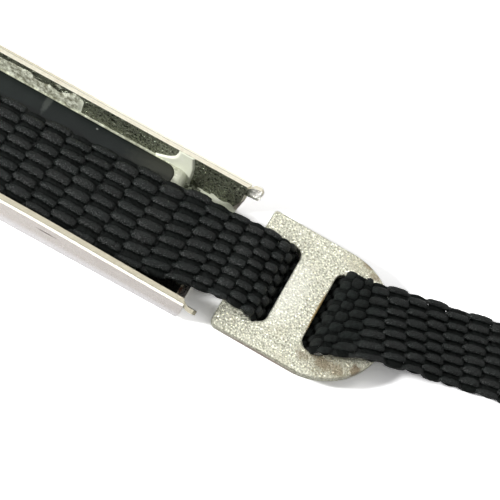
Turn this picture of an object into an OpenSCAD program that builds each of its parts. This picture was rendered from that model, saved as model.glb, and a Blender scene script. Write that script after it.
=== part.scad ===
// Slider buckle: an open metal channel bar with a bonded pad, a woven strap pinned in the bar,
// and a D-shaped two-slot slide plate that the strap is threaded through.
// Millimetres. X runs along the bar towards the slide plate, Y across it and Z up.
// The origin is the middle of the bar's flat underside.

/* [Channel bar] */
// Length of the bar
channel_l = 60; // [48:1:90]
// Outside width of the bar at the foot of its walls
channel_w = 16.3; // [15.6:0.1:20]
// Height of the bar from its underside to its rims
channel_h = 5.4; // [5.2:0.1:7]
// Angle that each wall leans outwards, in degrees
wall_lean = 8; // [0:1:12]
// Outside radius of the bend between floor and wall
bend_r = 1.1; // [1:0.05:1.6]
// Thickness of the outer cover's sheet
shell_t = 0.3; // [0.2:0.02:0.4]
// Thickness of the inner tray's sheet
tray_t = 0.55; // [0.4:0.05:0.6]
// Gap left between the cover and the tray inside it
nest_gap = 0.04; // [0.02:0.01:0.06]
// How far the tray's floor stops short of its walls at the open end
floor_setback = 1.2; // [0.4:0.1:1.5]
// How far the cover's floor stops short of its walls at the open end
cover_setback = 0.5; // [0.2:0.1:0.8]
// Height over which the walls slant back to the floor's end
corner_rise = 1.6; // [0.8:0.1:1.8]

/* [Ears] */
// Reach of each ear past the open end
ear_l = 1.6; // [0.8:0.1:2]
// Height of each ear
ear_h = 1.2; // [0.8:0.1:1.8]
// Drop from the rim to the top of each ear
ear_drop = 0.3; // [0.2:0.1:1]

/* [Pad and adhesive] */
// Gap between the sewn end of the webbing and the pad
pad_clear = 6.2; // [6:0.1:12]
// Gap between the pad and the tray's wall on each side
pad_side_gap = 0.2; // [0.1:0.05:0.5]
// Thickness of the pad
pad_t = 2; // [1:0.1:2.2]
// Corner radius of the pad
pad_corner_r = 1.3; // [0.5:0.1:2]
// Distance from the pad's end to the bar's open end
pad_setback = 8.3; // [6:0.1:9]
// Thickness of the adhesive under the pad
bond_t = 0.15; // [0.1:0.05:0.3]
// Width of the squeezed-out adhesive past each end of the pad
bead_w = 1.4; // [0.6:0.1:2]
// Height of the bead above the pad's underside
bead_h = 1.8; // [1:0.1:1.9]
// Gap between the adhesive and the tray's sheet
bed_gap = 0.02; // [0.01:0.01:0.05]

/* [Cross pin] */
// Radius of the cross pin
pin_r = 0.8; // [0.6:0.05:0.9]
// Distance from the bar's pinned end to the pin
pin_inset = 4; // [3.5:0.1:6]
// Radius of the pin's peened heads
pin_head_r = 1.3; // [1.1:0.05:1.5]
// Thickness of the pin's peened heads
pin_head_t = 0.35; // [0.2:0.05:0.6]
// Radial clearance of the pin in its wall holes
pin_clearance = 0.03; // [0.02:0.01:0.06]

/* [Webbing] */
// Width of the webbing
webbing_w = 10.2; // [8:0.1:10.3]
// Thickness of the webbing
webbing_t = 1.3; // [1:0.05:1.35]
// Length that is folded back and sewn, measured from the pin
fold_l = 9; // [8:0.5:10]
// Length of the free tail past the slide plate
tail_l = 62; // [45:1:90]
// Angle between the tail and the bar as it leaves the slide plate, in degrees
tail_turn = 15.3; // [0:0.5:20]
// Sideways bow of the webbing in the bar
run_bow = 1.5; // [0:0.1:1.6]
// How much wider the slack webbing lies in the bar
run_spread = 0.9; // [0:0.1:1]
// How much narrower the webbing is in the free tail
tail_narrowing = 0.5; // [0:0.1:0.8]
// Clearance kept between the webbing and what it lies on or passes through
webbing_gap = 0.1; // [0.08:0.01:0.12]

/* [Stitching] */
// Thickness of the sewing thread
thread_d = 0.3; // [0.2:0.05:0.35]
// Stitches across the bar tack
stitch_count = 11; // [7:1:15]
// Length of each stitch
stitch_l = 2.2; // [1.5:0.1:2.6]

/* [Slide plate] */
// Length of the slide plate, from its straight edge to the top of its round end
plate_l = 18.3; // [18:0.1:24]
// Width of the slide plate, and the diameter of its round end
plate_w = 16.3; // [15.5:0.1:18]
// Thickness of the slide plate
plate_t = 1.1; // [0.8:0.05:1.3]
// Width of the bar between the straight edge and the first slot
end_bar_w = 2.2; // [1.5:0.1:3]
// Width of the bar between the two slots
centre_bar_w = 4.6; // [3.5:0.1:5]
// Width of each slot, measured along the strap
slot_w = 3; // [2.9:0.05:3.4]
// Length of each slot, measured across the strap
slot_l = 10.5; // [10.4:0.1:11]
// Corner radius of the slots
slot_corner_r = 1.15; // [0.5:0.05:1.4]
// Radius of the plate's corner on the +Y side
far_corner_r = 0.5; // [0.3:0.1:1.5]
// Radius of the plate's corner on the -Y side
near_corner_r = 0.9; // [0.3:0.1:1.5]
// Gap from the bar's open end to the plate's straight edge
plate_gap = 3.4; // [3.2:0.1:8]
// Sideways offset of the plate from the bar's middle
plate_offset = 0.75; // [0:0.05:1]
// Turn of the plate about Z as it lies on the strap, in degrees
plate_turn = -1.2; // [-3:0.1:3]

/* [Hidden] */
$fn = 48;
cut = 0.5;

end_x = channel_l / 2;
floor_z = shell_t + nest_gap + tray_t;
pad_x = end_x - pad_setback;
pad_z = floor_z + bond_t;
pad_top = pad_z + pad_t;
pad_w = 2 * (inside_half(pad_z) - pad_side_gap);

pin_x = -end_x + pin_inset;
loop_in_r = pin_r + webbing_gap;
loop_out_r = loop_in_r + webbing_t;
loop_mid_r = loop_in_r + webbing_t / 2;
loop_floor_gap = 0.3;
pin_z = floor_z + loop_floor_gap + loop_out_r;
head_gap = 0.05;

run_low_z = pin_z - loop_mid_r;
run_pad_z = pad_top + webbing_gap + webbing_t / 2;
under_z = webbing_gap + webbing_t / 2;
plate_z = webbing_gap + webbing_t + webbing_gap;
over_z = plate_z + plate_t + webbing_gap + webbing_t / 2;
fold_turn = 30;
ply_press = 0.02;
fold_z = run_low_z + webbing_t - ply_press;
fold_x = pin_x + fold_l;
loop_end_x = fold_x + 1;
pad_x0 = loop_end_x + pad_clear;

plate_x = end_x + plate_gap;
slot1_x = end_bar_w;
slot2_x = end_bar_w + slot_w + centre_bar_w;
thread_x0 = -0.6;
thread_x1 = slot2_x + slot_w + 0.3;

// Smooth step from 0 to 1 as u goes from 0 to 1
function ease(u) = let (c = min(1, max(0, u))) c * c * (3 - 2 * c);

// Place of a point of the slide plate's own plan, its origin at the middle of the straight edge
function on_plate(x, y) = [
    plate_x + x * cos(plate_turn) - y * sin(plate_turn),
    plate_offset + x * sin(plate_turn) + y * cos(plate_turn)
];

// Half of the bent sheet's section, at depth d inside the bar's outer surface
function sheet_side(d) = let (
    yc = channel_w / 2 - bend_r,
    wall_l = (channel_h - bend_r + bend_r * sin(wall_lean)) / cos(wall_lean)
) concat(
    [for (i = [0 : 8]) let (a = -90 + i * (90 - wall_lean) / 8)
        [yc + (bend_r - d) * cos(a), bend_r + (bend_r - d) * sin(a)]],
    [[yc + (bend_r - d) * cos(wall_lean) + wall_l * sin(wall_lean),
      bend_r - (bend_r - d) * sin(wall_lean) + wall_l * cos(wall_lean)]]
);
function mirrored(p) = [for (i = [len(p) - 1 : -1 : 0]) [-p[i][0], p[i][1]]];
function sheet_line(d) = concat(mirrored(sheet_side(d)), sheet_side(d));
function reversed(p) = [for (i = [len(p) - 1 : -1 : 0]) p[i]];

// Half width inside the tray at height z
function inside_half(z) = channel_w / 2 - bend_r + (bend_r - floor_z) / cos(wall_lean)
    + (z - bend_r) * tan(wall_lean);

// A prism along X from x0 to x1, with a section given in Y and Z
module along_x(x0, x1) {
    translate([x0, 0, 0]) rotate([90, 0, 90]) linear_extrude(x1 - x0) children();
}

// A prism across Y, centred on Y, with a section given in X and Z
module across_y(w) {
    translate([0, w / 2, 0]) rotate([90, 0, 0]) linear_extrude(w) children();
}

// Formed sheet between depths d0 and d1 inside the bar's outer surface
module formed_sheet(d0, d1) {
    along_x(-end_x, end_x) polygon(concat(sheet_line(d0), reversed(sheet_line(d1))));
}

module pin_hole() {
    translate([pin_x, channel_w, pin_z]) rotate([90, 0, 0])
        cylinder(r = pin_r + pin_clearance, h = 2 * channel_w);
}

// What is cut off at the open end: the floor up to a setback, and each wall's foot at a slant
module slanted_end(setback) {
    across_y(2 * channel_w) polygon([
        [end_x - setback, -cut], [end_x - setback, floor_z], [end_x, floor_z + corner_rise],
        [end_x + cut, floor_z + corner_rise], [end_x + cut, -cut]]);
}

module rounded_slab(x0, x1, w, h, r) {
    linear_extrude(h) union() {
        translate([x0 + r, -w / 2]) square([x1 - x0 - 2 * r, w]);
        translate([x0, -w / 2 + r]) square([x1 - x0, w - 2 * r]);
        for (x = [x0 + r, x1 - r], y = [-w / 2 + r, w / 2 - r]) translate([x, y]) circle(r);
    }
}

// Thin bright cover wrapped round the tray
module outer_cover() {
    color([0.93, 0.91, 0.84]) difference() {
        formed_sheet(0, shell_t);
        pin_hole();
        slanted_end(cover_setback);
    }
}

// Ear that reaches past the open end, cut from the tray's wall
module ear_section(side) {
    top = sheet_side(shell_t + nest_gap)[9];
    inner = sheet_side(floor_z)[9];
    foot = [-sin(wall_lean), -cos(wall_lean)];
    scale([side, 1]) polygon([top + ear_drop * foot, inner + ear_drop * foot,
        inner + (ear_drop + ear_h) * foot, top + (ear_drop + ear_h) * foot]);
}

module inner_tray() {
    color([0.62, 0.62, 0.55]) union() {
        difference() {
            formed_sheet(shell_t + nest_gap, floor_z);
            pin_hole();
            slanted_end(floor_setback);
        }
        for (side = [-1, 1]) along_x(end_x, end_x + ear_l) ear_section(side);
    }
}

module pad_block(z0, h) {
    translate([0, 0, z0]) rounded_slab(pad_x0, pad_x, pad_w, h, pad_corner_r);
}

module pad() {
    color([0.23, 0.25, 0.25]) pad_block(pad_z, pad_t);
}

// Cured bed that the pad is set in: a layer under it and a bead all round it
module adhesive() {
    bed_top = pad_z + bead_h;
    bed_depth = floor_z + bed_gap;
    color([0.84, 0.86, 0.76]) difference() {
        intersection() {
            along_x(pad_x0 - bead_w, pad_x + bead_w) polygon(sheet_line(bed_depth));
            translate([pad_x0 - bead_w, -channel_w, 0])
                cube([pad_x + 2 * bead_w - pad_x0, 2 * channel_w, bed_top]);
        }
        pad_block(pad_z, pad_t);
    }
}

// Pin across both walls, its ends peened over outside the cover
module cross_pin() {
    head_y = inside_half(pin_z + pin_head_r) + floor_z / cos(wall_lean) + head_gap;
    color([0.8, 0.79, 0.74]) translate([pin_x, 0, pin_z]) rotate([90, 0, 0]) union() {
        cylinder(r = pin_r, h = 2 * head_y, center = true);
        for (side = [-1, 1]) translate([0, 0, side * (head_y + pin_head_t / 2)])
            cylinder(r = pin_head_r, h = pin_head_t, center = true);
    }
}

// Edge-on strip of webbing between two points in X and Z
module ply(a, b) {
    d = b - a;
    translate(a) rotate(atan2(d[1], d[0])) translate([0, -webbing_t / 2])
        square([norm(d), webbing_t]);
}

// Sewn loop round the pin: the fold's short end is pressed onto the run and bar-tacked to it
module webbing_loop() {
    leave = [pin_x + loop_mid_r * sin(fold_turn), pin_z + loop_mid_r * cos(fold_turn)];
    ramp_l = (leave[1] - fold_z) / sin(fold_turn);
    land = [leave[0] + ramp_l * cos(fold_turn), fold_z];
    mitre = webbing_t / 2 * tan(fold_turn / 2);
    down = [cos(fold_turn), -sin(fold_turn)];
    lap = 0.05;
    lap_turn = 2;
    far_out = 3 * loop_out_r;
    color([0.1, 0.11, 0.11]) across_y(webbing_w) union() {
        intersection() {
            translate([pin_x, pin_z]) difference() {
                circle(loop_out_r);
                circle(loop_in_r);
            }
            translate([pin_x, pin_z]) polygon([[lap, 0],
                far_out * [sin(fold_turn + lap_turn), cos(fold_turn + lap_turn)],
                [0, far_out], [-far_out, far_out], [-far_out, -far_out], [lap, -far_out]]);
        }
        ply(leave, land + mitre * down);
        ply(land - [mitre, 0], [fold_x, fold_z]);
        ply([pin_x, run_low_z], [loop_end_x, run_low_z]);
    }
}

// A strip of webbing along stations [x, y, z, turn of the width direction from Y, extra width if any]
module strip(stations) {
    n = len(stations);
    centres = [for (s = stations) [s[0], s[1], s[2]]];
    corners = [for (i = [0 : n - 1])
        let (
            ahead = centres[min(i + 1, n - 1)] - centres[max(i - 1, 0)],
            side = [-sin(stations[i][3]), cos(stations[i][3]), 0],
            lift = cross(ahead, side) / norm(cross(ahead, side)),
            extra = len(stations[i]) > 4 ? stations[i][4] : 0,
            w = side * (webbing_w + extra) / 2,
            t = lift * webbing_t / 2
        ) each [centres[i] - w - t, centres[i] + w - t, centres[i] + w + t, centres[i] - w + t]];
    sides = [for (i = [0 : n - 2], k = [0 : 3])
        [4 * i + k, 4 * i + (k + 1) % 4, 4 * i + 4 + (k + 1) % 4, 4 * i + 4 + k]];
    polyhedron(points = corners, convexity = 4,
        faces = concat([[3, 2, 1, 0]], sides, [[for (k = [0 : 3]) 4 * (n - 1) + k]]));
}

// Height of the webbing's middle along the bar
level_l = 0.5;
rise_l = 4;
settle_x = pad_x - 3;
settle_l = plate_x + thread_x0 - 0.5 - settle_x;
function run_z(x) = run_low_z + (run_pad_z - run_low_z) * ease((x - loop_end_x - level_l) / rise_l)
    - (run_pad_z - over_z) * ease((x - settle_x) / settle_l);
// Sideways place of the webbing's middle at share u of its run in the bar: it lies along the near wall
function run_y(u, y1) = y1 * ease(u) - run_bow * ease(u / 0.35) * (1 - ease((u - 0.7) / 0.32));
// Extra width of the webbing there
function run_extra(u) = run_spread * ease(u / 0.3) * (1 - ease((u - 0.78) / 0.2));

// Webbing lying in the bar, from the sewn loop to the slide plate
module webbing_run() {
    meet = on_plate(thread_x0, 0);
    before = on_plate(thread_x0 - 0.4, 0);
    x0 = loop_end_x + level_l;
    steps = 26;
    color([0.1, 0.11, 0.11]) strip(concat(
        [[loop_end_x, 0, run_low_z, 0]],
        [for (i = [0 : steps]) let (u = i / steps, x = x0 + (before[0] - x0) * u)
            [x, run_y(u, before[1]), run_z(x), plate_turn * ease(u), run_extra(u)]],
        [[meet[0], meet[1], over_z, plate_turn]]));
}

// Centre-line of the threaded webbing in the plate's plan: it bends close round the centre bar
bend_angle = 75;
bend_steps = 5;
bend_mid_r = 1;
drop = over_z - under_z;
slope_l = (drop - 2 * bend_mid_r * (1 - cos(bend_angle))) / sin(bend_angle);
dip_l = 2 * bend_mid_r * sin(bend_angle) + slope_l * cos(bend_angle);
function dip_down(x) = concat(
    [for (i = [0 : bend_steps]) let (a = i * bend_angle / bend_steps)
        [x + bend_mid_r * sin(a), over_z - bend_mid_r * (1 - cos(a))]],
    [for (i = [bend_steps : -1 : 0]) let (a = i * bend_angle / bend_steps)
        [x + dip_l - bend_mid_r * sin(a), under_z + bend_mid_r * (1 - cos(a))]]);
function dip_up(x) = [for (p = reversed(dip_down(0))) [x + dip_l - p[0], p[1]]];
thread_line = concat([[thread_x0, over_z]], dip_down(slot1_x + slot_w - dip_l),
    dip_up(slot2_x), [[thread_x1, over_z]]);

// Webbing over the end bar, under the centre bar and up over the round end
module webbing_threaded() {
    color([0.1, 0.11, 0.11]) strip([for (p = thread_line) let (q = on_plate(p[0], 0))
        [q[0], q[1], p[1], plate_turn]]);
}

// Free tail: it turns aside, comes down past the round end and lies on the table
tail_hump = 0.5;
tail_rest_z = 0.05 + webbing_t / 2;
tail_drop_l = 24;
function tail_z(s) = over_z + tail_hump * sin(180 * min(1, s / 12))
    + (tail_rest_z - over_z) * ease((s - 6) / tail_drop_l);
module webbing_tail() {
    meet = on_plate(thread_x1, 0);
    after = on_plate(thread_x1 + 0.4, 0);
    step = 2;
    start = 1;
    steps = floor((tail_l - start) / step);
    color([0.1, 0.11, 0.11]) strip(concat(
        [[meet[0], meet[1], over_z, plate_turn]],
        [for (i = [0 : steps]) let (
            s = i * step,
            turn = plate_turn + (tail_turn - plate_turn) * ease((s + start) / 5)
        ) [after[0] + s * cos(tail_turn), after[1] + s * sin(tail_turn), tail_z(s), turn,
           -tail_narrowing * ease(s / 12)]]));
}

// Bar tack: rows of short stitches on the fold and under the run
module bar_tack_stitching() {
    rows_x = fold_x - 1 - stitch_l;
    pitch = (webbing_w - 2) / (stitch_count - 1);
    color([0.16, 0.17, 0.17]) for (i = [0 : stitch_count - 1])
        for (z = [fold_z + webbing_t / 2, run_low_z - webbing_t / 2 - thread_d / 2])
            translate([rows_x, -webbing_w / 2 + 1 + i * pitch - thread_d / 2, z])
                cube([stitch_l, thread_d, thread_d / 2]);
}

// D-shaped plate with two slots
module slide_plate() {
    straight_l = plate_l - plate_w / 2;
    half_w = plate_w / 2;
    color([0.84, 0.82, 0.74]) translate([plate_x, plate_offset, plate_z]) rotate(plate_turn)
        difference() {
            linear_extrude(plate_t) union() {
                translate([straight_l, 0]) circle(half_w, $fn = 96);
                translate([max(far_corner_r, near_corner_r), -half_w])
                    square([straight_l - max(far_corner_r, near_corner_r), plate_w]);
                translate([0, -half_w + near_corner_r])
                    square([straight_l, plate_w - near_corner_r - far_corner_r]);
                translate([near_corner_r, -half_w + near_corner_r]) circle(near_corner_r);
                translate([far_corner_r, half_w - far_corner_r]) circle(far_corner_r);
                translate([far_corner_r, 0]) square([straight_l, half_w]);
            }
            for (x = [slot1_x, slot2_x]) translate([0, 0, -cut])
                rounded_slab(x, x + slot_w, slot_l, plate_t + 2 * cut, slot_corner_r);
        }
}

outer_cover();
inner_tray();
pad();
adhesive();
cross_pin();
webbing_loop();
webbing_run();
webbing_threaded();
webbing_tail();
bar_tack_stitching();
slide_plate();
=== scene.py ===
"""Slider buckle: a metal channel bar with a bonded pad, a woven strap pinned in it and a D-shaped plate.

The script follows the buckle as it is put together. Sizes are in millimetres and become metres in add_mesh().
"""
import math

import bmesh
import bpy
import numpy as np
from mathutils import Matrix, Vector
from mathutils.geometry import tessellate_polygon


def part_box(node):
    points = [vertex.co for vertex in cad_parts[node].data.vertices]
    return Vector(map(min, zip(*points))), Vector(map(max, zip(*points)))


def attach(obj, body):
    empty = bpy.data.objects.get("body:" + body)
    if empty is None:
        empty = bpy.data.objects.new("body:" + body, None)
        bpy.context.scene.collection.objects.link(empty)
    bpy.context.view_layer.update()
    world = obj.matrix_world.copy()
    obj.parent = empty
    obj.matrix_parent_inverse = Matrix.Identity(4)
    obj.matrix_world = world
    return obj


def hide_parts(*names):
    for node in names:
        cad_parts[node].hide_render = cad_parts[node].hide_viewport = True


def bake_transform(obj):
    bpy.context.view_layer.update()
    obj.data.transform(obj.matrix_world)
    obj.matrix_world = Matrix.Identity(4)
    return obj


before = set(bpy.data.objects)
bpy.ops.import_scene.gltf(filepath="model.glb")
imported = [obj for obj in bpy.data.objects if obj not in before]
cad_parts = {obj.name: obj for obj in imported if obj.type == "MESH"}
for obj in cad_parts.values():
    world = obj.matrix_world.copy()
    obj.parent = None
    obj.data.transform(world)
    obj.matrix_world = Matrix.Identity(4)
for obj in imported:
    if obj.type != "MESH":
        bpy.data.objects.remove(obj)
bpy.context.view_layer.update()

MM = 0.001

# ---------------------------------------------------------------- camera
# A long lens that looks down at the buckle from the bar's near side. It is rolled about its own view, so
# that the bar runs down to the right. At azimuth 0 it would look along +Y.
CAMERA_AZIMUTH, CAMERA_ELEVATION, CAMERA_ROLL = 2.48, 62.6, 26.57
CAMERA_TARGET = np.array([33.26, 2.99, 2.0])
CAMERA_DISTANCE = 185.0
CAMERA_LENS, SENSOR = 118.5, 36.0


def camera_axes(azimuth, elevation, roll):
    """Right, up and back of a camera that stands at azimuth and elevation, rolled about its own view."""
    a, e, r = (math.radians(v) for v in (azimuth, elevation, roll))
    back = np.array([math.sin(a) * math.cos(e), -math.cos(a) * math.cos(e), math.sin(e)])
    right = np.array([math.cos(a), math.sin(a), 0.0])
    up = np.cross(back, right)
    return right * math.cos(r) + up * math.sin(r), up * math.cos(r) - right * math.sin(r), back


def add_object(name, data):
    """A new object of the scene, at the origin."""
    piece = bpy.data.objects.new(name, data)
    bpy.context.scene.collection.objects.link(piece)
    return piece


camera = add_object("camera", bpy.data.cameras.new("camera"))
camera.data.lens = CAMERA_LENS
camera.data.sensor_width = SENSOR
camera.data.clip_start, camera.data.clip_end = 0.01, 10.0
right_axis, up_axis, back_axis = camera_axes(CAMERA_AZIMUTH, CAMERA_ELEVATION, CAMERA_ROLL)
camera_place = (CAMERA_TARGET + back_axis * CAMERA_DISTANCE) * MM
camera.matrix_world = Matrix.Translation(camera_place) @ Matrix(
    np.stack([right_axis, up_axis, back_axis], axis=1).tolist()).to_4x4()
bpy.context.scene.camera = camera
bpy.context.scene.view_settings.view_transform = "Standard"

# ---------------------------------------------------------------- floor and light
# A white table with an even pale sky all round and two soft panels: a large one overhead and behind the
# buckle, and a smaller one low on its left, each given as its place, its size and its power in watts. The
# table is seen brighter than it lights the buckle, so that only close shadows show on it.
FLOOR_HALF = 600.0
FLOOR_WHITE, FLOOR_SEEN, FLOOR_MIRRORED = 0.86, 1.9, 0.62
SKY_ON_OBJECT, SKY_SEEN = 0.48, 1.0
PANELS = {"overhead_panel": ((0.0, 120.0, 300.0), 150.0, 0.2),
          "left_panel": ((-215.0, -125.0, 165.0), 45.0, 1.1)}


def new_material(name):
    """A node material emptied of its nodes, with its output node."""
    material = bpy.data.materials.new(name)
    material.use_nodes = True
    material.node_tree.nodes.clear()
    return material, material.node_tree, material.node_tree.nodes.new("ShaderNodeOutputMaterial")


def feed(tree, value, socket):
    """Gives a node's input its value: a socket, a number, a vector as a list or a colour as a tuple."""
    if isinstance(value, bpy.types.NodeSocket):
        tree.links.new(value, socket)
    else:
        socket.default_value = (*value, 1) if isinstance(value, tuple) else value


def maths(tree, operation, *values):
    """Output of a Math node whose inputs are sockets or plain numbers."""
    node = tree.nodes.new("ShaderNodeMath")
    node.operation = operation
    for value, socket in zip(values, node.inputs):
        feed(tree, value, socket)
    return node.outputs[0]


def shade(mesh, sharp_degrees):
    """Smooth shading, with edges over the angle kept sharp."""
    mesh.shade_smooth()
    mesh.set_sharp_from_angle(angle=math.radians(sharp_degrees))


def add_mesh(name, points, faces, sharp_degrees=40.0):
    """A smooth-shaded mesh object at the origin, from points in millimetres; sharp over the angle."""
    mesh = bpy.data.meshes.new(name)
    mesh.from_pydata((np.asarray(points, float) * MM).tolist(), [], [list(map(int, f)) for f in faces])
    mesh.validate()
    shade(mesh, sharp_degrees)
    return add_object(name, mesh)


floor = add_mesh("table", [[-FLOOR_HALF, -FLOOR_HALF, 0], [FLOOR_HALF, -FLOOR_HALF, 0],
                           [FLOOR_HALF, FLOOR_HALF, 0], [-FLOOR_HALF, FLOOR_HALF, 0]], [[0, 1, 2, 3]])
table_paint, tree, output = new_material("table_white")
paint = tree.nodes.new("ShaderNodeBsdfDiffuse")
path = tree.nodes.new("ShaderNodeLightPath")
white = FLOOR_WHITE
for ray, value in (("Is Glossy Ray", FLOOR_MIRRORED), ("Is Camera Ray", FLOOR_SEEN)):
    white = maths(tree, "MULTIPLY_ADD", path.outputs[ray], value - FLOOR_WHITE, white)
feed(tree, white, paint.inputs["Color"])
feed(tree, paint.outputs[0], output.inputs["Surface"])
floor.data.materials.append(table_paint)

world = bpy.data.worlds.new("studio")
bpy.context.scene.world = world
world.use_nodes = True
tree = world.node_tree
tree.nodes.clear()
path = tree.nodes.new("ShaderNodeLightPath")
seen = maths(tree, "MAXIMUM", path.outputs["Is Camera Ray"], path.outputs["Is Glossy Ray"])
sky = tree.nodes.new("ShaderNodeBackground")
feed(tree, maths(tree, "MULTIPLY_ADD", seen, SKY_SEEN - SKY_ON_OBJECT, SKY_ON_OBJECT), sky.inputs["Strength"])
feed(tree, sky.outputs[0], tree.nodes.new("ShaderNodeOutputWorld").inputs["Surface"])

for panel_name, (place, size, power) in PANELS.items():
    panel = add_object(panel_name, bpy.data.lights.new(panel_name, "AREA"))
    panel.data.shape = "SQUARE"
    panel.data.size = size * MM
    panel.data.energy = power
    panel.location = Vector(place) * MM
    panel.rotation_euler = Vector(place - CAMERA_TARGET).to_track_quat("Z", "Y").to_euler()

# ---------------------------------------------------------------- channel bar: outer cover
# Thin bright nickel sheet, folded to an open channel and wrapped round the stiffer tray inside it.
# Its cut edges show as the outer line of each rim.
def in_mm(box):
    """The low and the high corner of a CAD node's box, in millimetres."""
    return np.array(box) / MM


COVER_T, NEST_GAP, TRAY_T = 0.3, 0.04, 0.55
BEND_R, WALL_LEAN, PIN_HOLE_R = 1.1, 8.0, 0.83
BAR_LOW, BAR_HIGH = in_mm(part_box("outer_cover"))
BAR_H = BAR_HIGH[2]
FLOOR_Z = COVER_T + NEST_GAP + TRAY_T
BEND_TURN = math.radians(90 - WALL_LEAN)
LEAN = math.radians(WALL_LEAN)
WALL_L = (BAR_H - BEND_R + BEND_R * math.sin(LEAN)) / math.cos(LEAN)
FLOOR_HALF_W = BAR_HIGH[1] - WALL_L * math.sin(LEAN) - BEND_R * math.cos(LEAN)
RIM_U = FLOOR_HALF_W + BEND_R * BEND_TURN + WALL_L
COVER_SETBACK, CORNER_RISE, CORNER_RUN = 0.5, 1.6, 6.0
CORNER_U = FLOOR_HALF_W + BEND_R * BEND_TURN + CORNER_RISE
PRESS_IN, SPLAY_OUT = 0.47, 0.42


def face_outwards(piece):
    """Turns every face of a closed mesh outwards."""
    work = bmesh.new()
    work.from_mesh(piece.data)
    bmesh.ops.recalc_face_normals(work, faces=work.faces)
    work.to_mesh(piece.data)
    work.free()


def smooth(low, high, value):
    """Smooth step from 0 at low to 1 at high."""
    t = np.clip((np.asarray(value, float) - low) / (high - low), 0, 1)
    return t * t * (3 - 2 * t)


def pressed(x, z):
    """How far the near wall is bent inwards at x and height z: in along the middle, out at the end."""
    at_rim = PRESS_IN * smooth(-20, -8, x) - SPLAY_OUT * smooth(8, 33, x)
    return at_rim * np.clip((z - BEND_R) / (BAR_H - BEND_R), 0, None)


def on_sheet(x, u, depth):
    """Point of the folded sheet: x along the bar, u along its section, depth inside its surface.

    The section is a flat floor, a bend of radius BEND_R and a straight wall that leans outwards."""
    x, u, depth = np.broadcast_arrays(np.asarray(x, float), u, depth)
    far = np.abs(u) - FLOOR_HALF_W
    turn = np.clip(far / BEND_R, 0, BEND_TURN)
    wall = np.clip(far - BEND_R * BEND_TURN, 0, None)
    y = np.minimum(np.abs(u), FLOOR_HALF_W) + (BEND_R - depth) * np.sin(turn) + wall * math.sin(LEAN)
    z = BEND_R - (BEND_R - depth) * np.cos(turn) + wall * math.cos(LEAN)
    return np.stack([x, np.sign(u) * y + np.where(u < 0, pressed(x, z), 0), z], axis=-1)


def cut_back(X, U, setback):
    """X with the floor's end drawn back by setback, and each wall's foot slanted out from there."""
    share = np.clip((CORNER_U - np.abs(U)) / (CORNER_U - FLOOR_HALF_W), 0, 1)
    return X - setback * share * np.clip((X - BAR_HIGH[0]) / CORNER_RUN + 1, 0, 1)


def shell(low, high, keep):
    """Closed shell between two grids of points: the cells that keep names, and walls along their edges.

    Also gives how many of its faces are the sheet's own sides; the others are its cut edges."""
    n, m = low.shape[:2]
    at = np.arange(n * m).reshape(n, m)
    quads = np.stack([at[:-1, :-1], at[1:, :-1], at[1:, 1:], at[:-1, 1:]], axis=-1)
    faces = [quads[keep][:, ::-1], quads[keep] + n * m]
    sides = 2 * int(keep.sum())
    ring = np.pad(keep, 1)
    for step, (a, b) in (((-1, 0), (3, 0)), ((1, 0), (1, 2)), ((0, -1), (0, 1)), ((0, 1), (2, 3))):
        open_side = keep & ~ring[1 + step[0]:1 + step[0] + n - 1, 1 + step[1]:1 + step[1] + m - 1]
        cells = quads[open_side]
        faces.append(np.stack([cells[:, a], cells[:, b], cells[:, b] + n * m, cells[:, a] + n * m], axis=-1))
    faces = np.concatenate(faces)
    used, faces = np.unique(faces, return_inverse=True)
    points = np.concatenate([low.reshape(-1, 3), high.reshape(-1, 3)])[used]
    return points, faces.reshape(-1, 4), sides


def paint_cut_edges(piece, sides):
    """Gives the faces after the first ones the piece's second material."""
    count = len(piece.data.polygons)
    piece.data.polygons.foreach_set("material_index", (np.arange(count) >= sides).astype(np.int32))


def round_edges(piece, width):
    """Rounds a sheet's cut edges with a bevel of that width in millimetres."""
    bevel = piece.modifiers.new("rounded_edges", "BEVEL")
    bevel.width = width * MM
    bevel.segments = 3
    bevel.limit_method = "ANGLE"
    bevel.angle_limit = math.radians(40)
    bevel.harden_normals = True


def section_lines(extra=()):
    """Places along the section: close together round the bends, wider on the floor and up the walls."""
    side = np.concatenate([np.linspace(0, FLOOR_HALF_W, 9),
                           FLOOR_HALF_W + BEND_R * np.linspace(0, BEND_TURN, 9)[1:],
                           RIM_U - WALL_L * np.linspace(1, 0, 7)[1:], [CORNER_U], np.asarray(extra, float)])
    side = np.unique(np.round(side, 4))
    return np.concatenate([-side[::-1], side[1:]])


def stacked_rings(rings, ends="flat"):
    """Faces of a wall through rings of equal count, its ends flat faces, open, or joined together."""
    count = len(rings[0])
    at = np.arange(len(rings) * count).reshape(len(rings), count)
    if ends == "joined":
        at = np.concatenate([at, at[:1]])
    nxt = np.roll(at, -1, axis=1)
    faces = np.stack([at[:-1], nxt[:-1], nxt[1:], at[1:]], axis=-1).reshape(-1, 4).tolist()
    return faces + ([at[0][::-1].tolist(), at[-1].tolist()] if ends == "flat" else [])


def pin_bore(piece):
    """Cuts the cross pin's hole through both walls."""
    low, high = in_mm(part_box("cross_pin"))
    middle = (low + high) / 2
    turn = np.linspace(0, 2 * math.pi, 33)[:-1]
    ring = np.stack([np.cos(turn), 0 * turn, np.sin(turn)], axis=-1) * PIN_HOLE_R + [middle[0], 0, middle[2]]
    ends = [ring + [0, y, 0] for y in (2 * low[1], 2 * high[1])]
    cutter = add_mesh("pin_bore", np.concatenate(ends), stacked_rings(ends))
    face_outwards(cutter)
    cut = piece.modifiers.new("pin_bore", "BOOLEAN")
    cut.operation = "DIFFERENCE"
    cut.solver = "EXACT"
    cut.object = cutter
    apply_modifiers(piece)
    bpy.data.objects.remove(cutter)


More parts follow.
